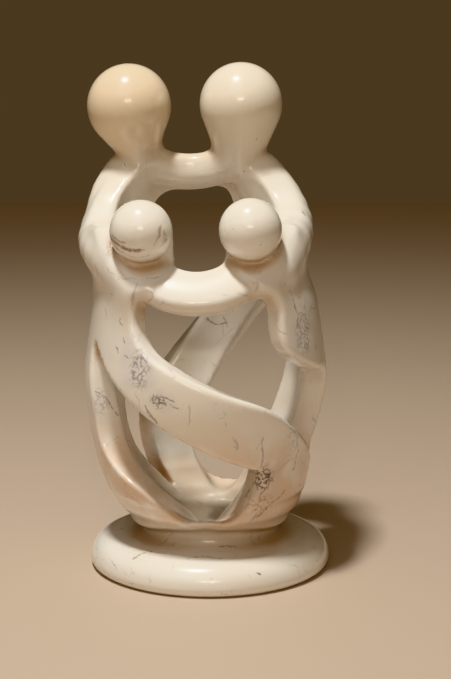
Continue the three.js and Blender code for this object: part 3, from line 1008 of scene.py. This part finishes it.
@dataclass(frozen=True)
class Soapstone:
    """The finish of the carving: pale polished soapstone with clouds, fine veins, crackle and specks, painted
    shade in the bowl, and grime with painted shade in the creases.

    A span is where a soft rise or fall begins and ends. A field named for noise holds the width of its
    patches and its finer layers, and one named for a bend holds the bend's width and reach. Lengths are in
    millimetres, and a share says how strongly a layer covers what lies under it.
    """

    name: str = "polished_soapstone"
    ivory: Colour = (0.84, 0.82, 0.765, 1.0)
    cream: Colour = (0.80, 0.725, 0.60, 1.0)
    # Partly the stone's own tone low down, partly painted warm light bounced up from below.
    peach: Colour = (0.76, 0.56, 0.42, 1.0)
    straw: Colour = (0.77, 0.625, 0.44, 1.0)
    mist: Colour = (0.58, 0.56, 0.58, 1.0)
    # Multiplied into the creases: partly grime, partly painted shade.
    crevice: Colour = (0.62, 0.42, 0.26, 1.0)
    # Painted shade for the inside of the bowl.
    dull: Colour = (0.52, 0.47, 0.38, 1.0)
    refraction: float = 1.57
    coat: float = 0.4
    coat_roughness: float = 0.05
    roughness: float = 0.15
    worn_roughness: float = 0.1
    crease_roughness: float = 0.15
    wear_noise: Span = (22.0, 3.0)
    ripple_noise: Span = (16.0, 1.0)
    ripple_height: float = 0.12
    grain_noise: Span = (0.8, 3.0)
    grain_height: float = 0.004
    # Over this room the creases' grime and painted shade fade out, and the share says how strongly they show.
    crease_room: Span = (0.8, 6.2)
    crease_share: float = 0.75
    broad_noise: Span = (46.0, 3.0)
    fine_noise: Span = (15.0, 4.0)
    cream_clouds: Span = (0.40, 0.70)
    cream_cloud_share: float = 0.4
    cream_heights: Span = (165.0, 225.0)
    cream_height_share: float = 0.85
    peach_top: Span = (52.0, 92.0)
    peach_foot: Span = (18.0, 34.0)
    peach_clouds: Span = (0.34, 0.56)
    peach_share: float = 0.8
    straw_centre: Triple = (-42.0, 27.0, 232.0)
    straw_wander: float = 8.0
    straw_edge: Span = (22.0, 38.0)
    straw_share: float = 0.75
    # Where the painted shade inside the bowl lies, and how strongly it shows.
    bowl_cone_radius: float = 18.3
    bowl_cone_slope: float = 0.75
    bowl_widest: float = 54.0
    bowl_inset: Span = (4.0, 10.0)
    bowl_foot: Span = (19.0, 23.0)
    bowl_top: Span = (38.0, 66.0)
    bowl_share: float = 0.6
    mist_spread: float = 2.0
    mist_clouds: Span = (0.40, 0.66)
    mist_share: float = 0.5
    long_bend: Span = (6.0, 1.6)
    short_bend: Span = (1.5, 0.6)
    squash: Triple = (1.0, 0.3, 1.0)
    broken_noise: Span = (2.2, 2.0)
    broken_clouds: Span = (0.24, 0.50)
    net_cell: float = 2.6
    net_line: Span = (0.10, 0.62)
    net_noise: Span = (1.8, 2.0)
    net_clouds: Span = (0.36, 0.58)
    long_thread_bend: Span = (24.0, 9.0)
    long_thread_cell: float = 30.0
    long_thread_line: Span = (0.12, 0.42)
    long_thread_noise: Span = (13.0, 2.0)
    long_thread_clouds: Span = (0.50, 0.66)
    long_thread_share: float = 0.42
    short_thread_bend: Span = (5.0, 2.0)
    short_thread_cell: float = 6.0
    short_thread_line: Span = (0.08, 0.34)
    short_thread_noise: Span = (8.0, 2.0)
    short_thread_clouds: Span = (0.63, 0.72)
    short_thread_share: float = 0.38
    thin_heights: Span = (145.0, 180.0)
    thin_share: float = 0.7
    speck_cell: float = 6.0
    speck_edge: Span = (0.15, 0.55)
    speck_chance: Span = (0.86, 0.90)
    speck_share: float = 0.5
    veins: tuple[Vein, ...] = (
        Vein(Tone.LILAC, 0.7, 0.7, ((-42, -41.9, 132), (-41, -41.9, 128.5))),
        Vein(Tone.LILAC, 0.7, 0.8, ((-40.8, -44, 123.5), (-39.5, -44, 120.8))),
        Vein(Tone.LILAC, 0.7, 0.8, ((-44, -41.6, 119), (-43, -41.6, 115.5))),
        Vein(Tone.LILAC, 0.7, 0.8, ((-40, -46.2, 115.3), (-37.4, -46.2, 114.2))),
        Vein(Tone.DARK, 1.0, 0.7, ((-25.5, -56.3, 98.5), (-26, -56.3, 95.5), (-23.5, -56.6, 93.6))),
        Vein(Tone.DARK, 0.9, 0.65, ((-26, -56.3, 96.5), (-20.5, -58, 97.2), (-15.8, -59.3, 95.2))),
        Vein(Tone.LILAC, 0.9, 0.8, ((-23.5, -56.8, 93.8), (-19, -58.4, 93.8), (-14, -59.5, 92.4))),
        Vein(Tone.DARK, 0.9, 0.6, ((-29.9, -53.9, 92.2), (-27.6, -54.8, 88.6), (-24.5, -55.4, 85.2))),
        Vein(Tone.LILAC, 0.7, 0.8, ((-55.3, -23.9, 92.8), (-51.1, -22.6, 90.2), (-48.6, -21.8, 86),
                                    (-45.4, -20.8, 80))),
        Vein(Tone.DARK, 2.2, 0.8, ((26.8, -45.1, 57.4), (27.8, -45.1, 55.6))),
        Vein(Tone.LILAC, 0.8, 0.8, ((24.9, -48.1, 62.3), (25.8, -49.8, 70), (25.3, -51.3, 76))),
        Vein(Tone.DARK, 0.9, 0.6, ((22.8, -41.4, 54.2), (17.5, -40.4, 44.4), (12.6, -39.9, 36.7))),
        Vein(Tone.DARK, 0.9, 0.6, ((28.8, -43.3, 52.5), (26.5, -44, 48.6), (23.8, -44.6, 46.2))),
        Vein(Tone.LILAC, 0.7, 0.7, ((42, -36.6, 75), (43.6, -32.4, 66), (41, -32, 55.6))),
        Vein(Tone.LILAC, 0.9, 0.6, ((44.2, -21.1, 47), (45.6, -21.1, 44.4))),
        Vein(Tone.ROSE, 1.0, 0.6, ((36.5, -34.6, 46.2), (28.2, -38.7, 38.9), (19.9, -40.8, 32.9))),
        Vein(Tone.ROSE, 0.9, 0.6, ((31.5, -36, 46.5), (25, -40, 41.4), (18.3, -38.7, 30.6))),
        Vein(Tone.LILAC, 1.5, 0.45, ((12.4, -56.1, 76.6), (13.3, -56.1, 72.6))),
        Vein(Tone.LILAC, 0.9, 0.5, ((-8.6, -32.9, 29.4), (-6.4, -32.9, 27.6))),
        Vein(Tone.BROWN, 1.7, 0.75, ((-46.5, -40.8, 171), (-43.5, -46.1, 168), (-38.5, -48.2, 165.6),
                                      (-32, -49, 165))),
        Vein(Tone.BROWN, 1.2, 0.7, ((-45, -42, 166), (-40, -46.5, 162.8), (-34.4, -48, 161.2),
                                     (-28, -48, 162.4))),
        Vein(Tone.DARK, 1.3, 0.45, ((-45.8, -44, 171.6), (-42.6, -47.4, 170), (-39, -49.6, 168.6))),
        Vein(Tone.DARK, 1.1, 0.55, ((-41, -47, 165.6), (-36, -49, 164.6), (-30, -49, 165.2))),
        Vein(Tone.BROWN, 1.4, 0.5, ((-22.6, -48.3, 175.6), (-22.6, -47.2, 171.6), (-25.4, -47.1, 168))),
        Vein(Tone.LILAC, 1.1, 0.6, ((-20.4, -46.2, 174), (-20, -44.6, 170), (-22.8, -44, 165.6))),
        Vein(Tone.LILAC, 0.6, 0.6, ((-30.4, -43.8, 152.6), (-27, -43, 151.8), (-23.5, -41.7, 152.3))),
        Vein(Tone.DARK, 0.6, 0.7, ((-43.3, 19.9, 201.7), (-41.5, 19.9, 200.3))),
        Vein(Tone.LILAC, 0.8, 0.7, ((40.2, -35.3, 140), (42.4, -35.3, 131), (43.6, -35.6, 123),
                                    (41.6, -38.3, 113.7))),
        Vein(Tone.LILAC, 0.7, 0.7, ((45.2, -31.7, 130), (47.8, -28.8, 125))),
        Vein(Tone.LILAC, 1.3, 0.6, ((45.8, -0.3, 180.4), (47, -0.3, 176.4))),
        Vein(Tone.DARK, 1.0, 0.6, ((-2.2, 47.3, 118.4), (2.6, 46.8, 115.2), (8.8, 46.2, 115.6))),
        Vein(Tone.DARK, 0.8, 0.5, ((6.6, 46.2, 119.8), (9.4, 46.2, 113.6))),
        Vein(Tone.LILAC, 0.8, 0.6, ((-53.2, -28.9, 9.6), (-49, -34.4, 10.6), (-45.6, -39.1, 8.2))),
        Vein(Tone.DARK, 0.8, 0.6, ((-37, -42.4, 13.8), (-33.2, -38.8, 15.2), (-28.6, -35.1, 15.5))),
        Vein(Tone.LILAC, 0.7, 0.7, ((-10, -46, 15.4), (-2, -43, 15.5), (8.4, -48, 15.4))),
        Vein(Tone.DARK, 0.6, 0.6, ((5, -30.7, 16.6), (12.9, -29.6, 16.3))),
        Vein(Tone.DARK, 1.2, 0.8, ((23.2, -53.8, 11.4), (24, -53.8, 10.9))),
    )
    crackles: tuple[Crackle, ...] = (
        Crackle(Tone.LILAC, 0.85, (-32.5, -51.5, 109.5), (6.5, 9.0, 11.5)),
        Crackle(Tone.DARK, 0.75, (-23.5, -56.5, 95.0), (5.0, 8.0, 4.5)),
        Crackle(Tone.DARK, 1.0, (25.6, -45.0, 55.2), (7.0, 9.0, 8.0)),
        Crackle(Tone.BROWN, 0.6, (-44.0, -31.0, 164.0), (5.5, 7.0, 7.0)),
        Crackle(Tone.LILAC, 0.5, (-53.0, -23.0, 88.0), (5.0, 8.0, 8.0)),
        Crackle(Tone.LILAC, 0.65, (45.0, -32.0, 124.0), (6.0, 9.0, 14.0)),
        Crackle(Tone.LILAC, 0.35, (41.0, -36.0, 76.0), (7.0, 9.0, 13.0)),
        Crackle(Tone.BROWN, 0.5, (24.0, -40.0, 41.0), (9.0, 9.0, 8.0)),
    )

    def make(self) -> bpy.types.Material:
        """Builds the material.

        Returns:
            The new material.
        """
        material = bpy.data.materials.new(self.name)
        material.use_nodes = True
        material.node_tree.nodes.clear()
        desk = NodeDesk(material.node_tree)
        place = desk.scaled(desk.node("ShaderNodeTexCoord").outputs["Object"], 1.0 / MILLIMETRE)
        bent = desk.shifted(desk.shifted(place, *self.long_bend), *self.short_bend)
        masks = self.named_masks(desk, bent)
        masks[Tone.LILAC] = desk.larger(masks[Tone.LILAC], self.threads(desk, place, bent))
        colour = self.stained(desk, self.clouded(desk, place), self.specks(desk, bent), Tone.DARK)
        for tone, mask in masks.items():
            colour = self.stained(desk, colour, mask, tone)
        # Creases turn darker and warmer where little open room lies off the skin: partly grime, partly
        # painted shade.
        room = desk.node("ShaderNodeAttribute", {"attribute_name": ROOM}).outputs["Fac"]
        hollow = desk.faded(Term(desk, room), *self.crease_room)
        colour = desk.mixed(colour, self.crevice, hollow * self.crease_share, "MULTIPLY")
        ripple = desk.cloud(place, *self.ripple_noise)
        grain = desk.cloud(place, *self.grain_noise)
        height = ripple * self.ripple_height + grain * self.grain_height
        sockets = {"Strength": 1.0, "Distance": MILLIMETRE, "Height": height}
        bump = desk.node("ShaderNodeBump", sockets=sockets)
        worn = desk.cloud(place, *self.wear_noise)
        shader = desk.node(
            "ShaderNodeBsdfPrincipled",
            sockets={
                "Base Color": colour,
                "Roughness": self.roughness + self.worn_roughness * worn + self.crease_roughness * hollow,
                "IOR": self.refraction,
                "Coat Weight": self.coat,
                "Coat Roughness": self.coat_roughness,
                "Normal": bump.outputs["Normal"],
            },
        )
        desk.node("ShaderNodeOutputMaterial", sockets={"Surface": shader.outputs[0]})
        return material

    def clouded(self, desk: NodeDesk, place: bpy.types.NodeSocket) -> bpy.types.NodeSocket:
        """The stone's ground colour: ivory with cream clouds, peach low down that is partly the stone's own
        tone and partly painted warm bounce light, straw on one head, and painted shade in the bowl.

        Args:
            desk: Where the nodes are added.
            place: The place, in millimetres.

        Returns:
            The colour.
        """
        height = desk.spot(place).z
        broad = desk.cloud(place, *self.broad_noise)
        fine = desk.cloud(place, *self.fine_noise)
        clouds = desk.eased(broad, *self.cream_clouds)
        colour = desk.mixed(self.ivory, self.cream, clouds * self.cream_cloud_share)
        upper = desk.eased(height, *self.cream_heights)
        colour = desk.mixed(colour, self.cream, upper * self.cream_height_share)
        # Peach low on the bodies, in clouds: partly the stone's own tone, partly painted warm bounce light.
        low = desk.faded(height, *self.peach_top) * desk.eased(height, *self.peach_foot)
        clouds = desk.eased(broad * 0.5 + fine * 0.5, *self.peach_clouds)
        colour = desk.mixed(colour, self.peach, low * clouds * self.peach_share)
        away = desk.measure("DISTANCE", place, Vector(self.straw_centre))
        straw = desk.faded(away + fine * self.straw_wander, *self.straw_edge)
        colour = desk.mixed(colour, self.straw, straw * self.straw_share)
        # Painted shade: the inside of the bowl, within its walls and low down, is greyed and darkened.
        inner = desk.measure("LENGTH", desk.vector("MULTIPLY", place, (1.0, 1.0, 0.0)))
        outside = desk.smaller(self.bowl_cone_radius + self.bowl_cone_slope * height, self.bowl_widest)
        bowl = desk.eased(outside - inner, *self.bowl_inset) * desk.eased(height, *self.bowl_foot)
        bowl = bowl * desk.faded(height, *self.bowl_top)
        colour = desk.mixed(colour, self.dull, bowl * self.bowl_share)
        mottle: Number = 0.0
        for crackle in self.crackles:
            patch = crackle.patch(desk, place, self.mist_spread)
            mottle = desk.larger(mottle, patch * crackle.strength)
        mottle = mottle * desk.eased(fine, *self.mist_clouds)
        return desk.mixed(colour, self.mist, mottle * self.mist_share)

    def stained(self, desk: NodeDesk, colour: Any, mask: Term, tone: Tone) -> bpy.types.NodeSocket:
        """Lays a mineral's colour over the stone where its mask says."""
        return desk.mixed(colour, tone.value, mask)

    def named_masks(self, desk: NodeDesk, bent: bpy.types.NodeSocket) -> dict[Tone, Term]:
        """How strongly the named veins and crackles show, by tone.

        Args:
            desk: Where the nodes are added.
            bent: The wandered place, in millimetres.

        Returns:
            A mask for each tone.
        """
        sheet = desk.vector("MULTIPLY", bent, self.squash)
        broken = desk.eased(desk.cloud(bent, *self.broken_noise), *self.broken_clouds)
        net = desk.faded(desk.cracks(bent, self.net_cell), *self.net_line)
        net = net * desk.eased(desk.cloud(bent, *self.net_noise), *self.net_clouds)
        masks: dict[Tone, Number] = {}
        for vein in self.veins:
            masks[vein.tone] = desk.larger(masks.get(vein.tone, 0.0), vein.mask(desk, sheet, self.squash))
        masks = {tone: mask * broken for tone, mask in masks.items()}
        for crackle in self.crackles:
            masks[crackle.tone] = desk.larger(masks[crackle.tone], crackle.mask(desk, bent, net))
        return masks

    def threads(self, desk: NodeDesk, place: bpy.types.NodeSocket, bent: bpy.types.NodeSocket) -> Term:
        """Sparse faint veins all over the stone.

        Args:
            desk: Where the nodes are added.
            place: The place, in millimetres.
            bent: The wandered place, in millimetres.

        Returns:
            The share of the veins' colour, from 0 to 1.
        """
        swung = desk.shifted(bent, *self.long_thread_bend)
        longer = desk.faded(desk.cracks(swung, self.long_thread_cell), *self.long_thread_line)
        clouds = desk.cloud(place, *self.long_thread_noise)
        longer = longer * desk.eased(clouds, *self.long_thread_clouds)
        swung = desk.shifted(bent, *self.short_thread_bend)
        shorter = desk.faded(desk.cracks(swung, self.short_thread_cell), *self.short_thread_line)
        clouds = desk.cloud(place, *self.short_thread_noise)
        shorter = shorter * desk.eased(clouds, *self.short_thread_clouds)
        lower = 1.0 - desk.eased(desk.spot(place).z, *self.thin_heights) * self.thin_share
        return desk.larger(longer * self.long_thread_share, shorter * self.short_thread_share) * lower

    def specks(self, desk: NodeDesk, place: bpy.types.NodeSocket) -> Term:
        """Small dark specks, few and far between.

        Args:
            desk: Where the nodes are added.
            place: The wandered place, in millimetres.

        Returns:
            The share of the specks' colour, from 0 to 1.
        """
        sockets = {"Vector": place, "Scale": 1.0 / self.speck_cell}
        cell = desk.node("ShaderNodeTexVoronoi", sockets=sockets)
        chance = desk.spot(cell.outputs["Color"]).x
        near = desk.faded(Term(desk, cell.outputs["Distance"]) * self.speck_cell, *self.speck_edge)
        return near * desk.eased(chance, *self.speck_chance) * self.speck_share


@dataclass(frozen=True)
class FamilyCarving:
    """The whole carving, as one closed surface."""

    base: RoundBase = RoundBase()
    bodies: PiercedBodies = PiercedBodies()
    parents: Parents = Parents()
    children: Children = Children()
    finish: Soapstone = Soapstone()
    foot_fillet: float = 3.0
    body_fillet: float = 8.0
    cell: float = 1.7
    cells_to_full: float = 4.0
    settle_rounds: int = 5
    leads_each_round: int = 2
    room_reach: float = 6.0
    low_corner: Triple = (-72.0, -66.0, -5.0)
    high_corner: Triple = (66.0, 66.0, 258.0)

    def distance(self, desk: FormDesk) -> Term:
        """The distance from each place to the stone.

        Args:
            desk: Where the nodes are added.

        Returns:
            The distance in millimetres, negative inside.
        """
        place = desk.node("GeometryNodeInputPosition").outputs["Position"]
        at = desk.spot(desk.scaled(place, 1.0 / MILLIMETRE))
        size = desk.sizes("Carving", self)
        lower = self.bodies.distance(desk, at, self.children.chest(desk, at))
        lower = desk.blend(lower, self.base.distance(desk, at), size.foot_fillet)
        upper = desk.blend(lower, self.parents.distance(desk, at), size.body_fillet)
        return self.children.join(desk, at, upper)

    def first_surface(self, desk: FormDesk, distance: Term) -> bpy.types.NodeSocket:
        """Fills a box with the distance and skins it where the distance is zero.

        Args:
            desk: Where the nodes are added.
            distance: The distance to the stone.

        Returns:
            The skin.
        """
        size = desk.sizes("Carving", self)
        solid = desk.math("SUBTRACT", 0.5, distance / (size.cell * size.cells_to_full), clamped=True)
        sockets: dict[str, Any] = {"Density": solid}
        for corner, place in (("Min", self.low_corner), ("Max", self.high_corner)):
            sockets[corner] = [length * MILLIMETRE for length in place]
        for axis, low, high in zip("XYZ", self.low_corner, self.high_corner):
            sockets[f"Resolution {axis}"] = desk.math("CEIL", (high - low) / size.cell)
        block = desk.node("GeometryNodeVolumeCube", sockets=sockets)
        settings = {"resolution_mode": "GRID"}
        skin = desk.node("GeometryNodeVolumeToMesh", settings, {"Volume": block.outputs[0], "Threshold": 0.5})
        return skin.outputs["Mesh"]

    def settled(self, desk: FormDesk, skin: bpy.types.NodeSocket, distance: Term) -> bpy.types.NodeSocket:
        """Evens out the skin's corners and leads them to where the distance is zero, several times over.

        Args:
            desk: Where the nodes are added.
            skin: The first skin.
            distance: The distance to the stone.

        Returns:
            The settled skin.
        """
        place = desk.node("GeometryNodeInputPosition").outputs["Position"]
        facing = desk.node("GeometryNodeInputNormal").outputs["Normal"]
        settings = {"data_type": "FLOAT_VECTOR"}
        evened = desk.node("GeometryNodeBlurAttribute", settings, {"Value": place, "Iterations": 1})
        step = desk.scaled(facing, distance * -MILLIMETRE)
        for _ in range(self.settle_rounds):
            skin = desk.moved(skin, "Position", evened.outputs["Value"])
            for _ in range(self.leads_each_round):
                skin = desk.moved(skin, "Offset", step)
        return skin

    def with_room(self, desk: FormDesk, skin: bpy.types.NodeSocket, distance: Term) -> bpy.types.NodeSocket:
        """Stores how much open room lies off each place of the skin, which is little in a crease.

        Args:
            desk: Where the nodes are added.
            skin: The settled skin.
            distance: The distance to the stone.

        Returns:
            The same skin with the room stored on it.
        """
        facing = desk.node("GeometryNodeInputNormal").outputs["Normal"]
        place = desk.node("GeometryNodeInputPosition").outputs["Position"]
        skin = desk.stored(skin, "FLOAT_VECTOR", HOME, place)
        off = desk.scaled(facing, desk.sizes("Carving", self).room_reach * MILLIMETRE)
        skin = desk.moved(skin, "Offset", off)
        skin = desk.stored(skin, "FLOAT", ROOM, distance)
        skin = desk.moved(skin, "Position", desk.recalled("FLOAT_VECTOR", HOME))
        sockets = {"Geometry": skin, "Name": HOME}
        return desk.node("GeometryNodeRemoveAttribute", sockets=sockets).outputs[0]

    def build(self) -> bpy.types.Object:
        """Builds the carving and dresses it.

        Returns:
            The finished piece.
        """
        desk = FormDesk("family_carving_form")
        distance = self.distance(desk)
        skin = self.settled(desk, self.first_surface(desk, distance), distance)
        skin = self.with_room(desk, skin, distance)
        smooth = desk.node("GeometryNodeSetShadeSmooth", sockets={"Geometry": skin})
        real = desk.node("GeometryNodeRealizeInstances", sockets={"Geometry": smooth.outputs[0]})
        stone = desk.named_input("Stone", "NodeSocketMaterial", self.finish.make())
        dressed = desk.node(
            "GeometryNodeSetMaterial", sockets={"Geometry": real.outputs[0], "Material": stone}
        )
        desk.feed(desk.end.inputs[0], dressed.outputs[0])
        drawing = bpy.data.objects.new("window_outlines", self.bodies.outlines())
        bpy.context.scene.collection.objects.link(drawing)
        desk.give_to(drawing.modifiers.new("form", "NODES"))
        shaped = drawing.evaluated_get(bpy.context.evaluated_depsgraph_get())
        mesh = bpy.data.meshes.new_from_object(shaped)
        bpy.data.objects.remove(drawing)
        carving = bpy.data.objects.new("stone_family", mesh)
        bpy.context.scene.collection.objects.link(carving)
        return carving


@dataclass(frozen=True)
class SoftLight:
    """One round area light of the studio, which stands off at its reach and faces the carving."""

    name: str
    direction: Triple
    reach: float
    width: float
    power: float
    colour: Triple


@dataclass(frozen=True)
class Studio:
    """The pale floor, the soft lights, the air and the camera, with places in metres."""

    target: Triple = (-0.006, 0.0, 0.125)
    camera_place: Triple = (0.0079, -0.719, 0.2365)
    camera_pitch: float = 9.6
    lens: float = 76.9
    sensor_width: float = 36.0
    floor_half_width: float = 2.5
    floor_colour: Colour = (0.55, 0.45, 0.36, 1.0)
    floor_roughness: float = 0.6
    air_rise: Span = (-0.1, 0.9)
    front_air: Colour = (0.24, 0.165, 0.10, 1.0)
    dim_air: Colour = (0.10, 0.072, 0.045, 1.0)
    lights: tuple[SoftLight, ...] = (
        SoftLight("key_light", (-0.15, -0.2, 0.97), 1.2, 0.14, 15.6, (1.0, 0.975, 0.91)),
        SoftLight("upper_fill_light", (-0.2, -0.62, 0.76), 1.4, 0.9, 1.7, (0.94, 0.97, 1.0)),
        SoftLight("left_front_light", (-0.08, -0.94, 0.33), 1.4, 0.05, 1.35, (1.0, 0.86, 0.72)),
        SoftLight("right_front_light", (0.06, -0.94, 0.33), 1.4, 0.05, 1.35, (1.0, 0.86, 0.72)),
    )

    def build(self) -> None:
        """Builds the floor, the lights, the surroundings and the camera."""
        self.build_camera()
        self.build_floor()
        for light in self.lights:
            self.build_light(light)
        self.build_air()
        bpy.context.scene.view_settings.view_transform = "Khronos PBR Neutral"

    def build_air(self) -> None:
        """Surrounds the scene with soft light, which is brighter in front and dims to the sides and back."""
        world = bpy.data.worlds.new("studio_air")
        world.use_nodes = True
        world.node_tree.nodes.clear()
        desk = NodeDesk(world.node_tree)
        towards = desk.spot(desk.node("ShaderNodeTexCoord").outputs["Generated"])
        front = desk.eased(-towards.y, *self.air_rise)
        colour = desk.mixed(self.dim_air, self.front_air, front)
        air = desk.node("ShaderNodeBackground", sockets={"Color": colour, "Strength": 1.0})
        desk.node("ShaderNodeOutputWorld", sockets={"Surface": air.outputs[0]})
        bpy.context.scene.world = world

    def build_camera(self) -> None:
        """Places the camera at the photograph's viewing angle."""
        data = bpy.data.cameras.new("camera")
        data.lens = self.lens
        data.sensor_width = self.sensor_width
        camera = bpy.data.objects.new("camera", data)
        camera.location = self.camera_place
        camera.rotation_euler = (math.radians(90.0 - self.camera_pitch), 0.0, 0.0)
        bpy.context.scene.collection.objects.link(camera)
        bpy.context.scene.camera = camera

    def build_floor(self) -> None:
        """Lays the plain pale floor under the carving."""
        half = self.floor_half_width
        mesh = bpy.data.meshes.new("floor")
        corners = [(-half, -half, 0), (half, -half, 0), (half, half, 0), (-half, half, 0)]
        mesh.from_pydata(corners, [], [(0, 1, 2, 3)])
        floor = bpy.data.objects.new("floor", mesh)
        bpy.context.scene.collection.objects.link(floor)
        material = bpy.data.materials.new("pale_floor")
        material.use_nodes = True
        shader = material.node_tree.nodes["Principled BSDF"]
        shader.inputs["Base Color"].default_value = self.floor_colour
        shader.inputs["Roughness"].default_value = self.floor_roughness
        mesh.materials.append(material)

    def build_light(self, light: SoftLight) -> None:
        """Places one light, turned to the carving.

        Args:
            light: What the light is like.
        """
        data = bpy.data.lights.new(light.name, "AREA")
        data.shape = "DISK"
        data.size = light.width
        data.energy = light.power
        data.color = light.colour
        lamp = bpy.data.objects.new(light.name, data)
        direction = Vector(light.direction).normalized()
        lamp.location = Vector(self.target) + direction * light.reach
        lamp.rotation_euler = direction.to_track_quat("Z", "Y").to_euler()
        bpy.context.scene.collection.objects.link(lamp)


def main() -> None:
    """Builds the carving and the studio round it, and reports each piece."""
    logging.basicConfig(level=logging.INFO, format="%(name)s: %(message)s")
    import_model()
    Studio().build()
    carving = FamilyCarving().build()
    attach(carving, BODY)
    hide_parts(CAD_NODE)
    log.info("%s: %d faces", carving.name, len(carving.data.polygons))


if __name__ == "__main__":
    main()
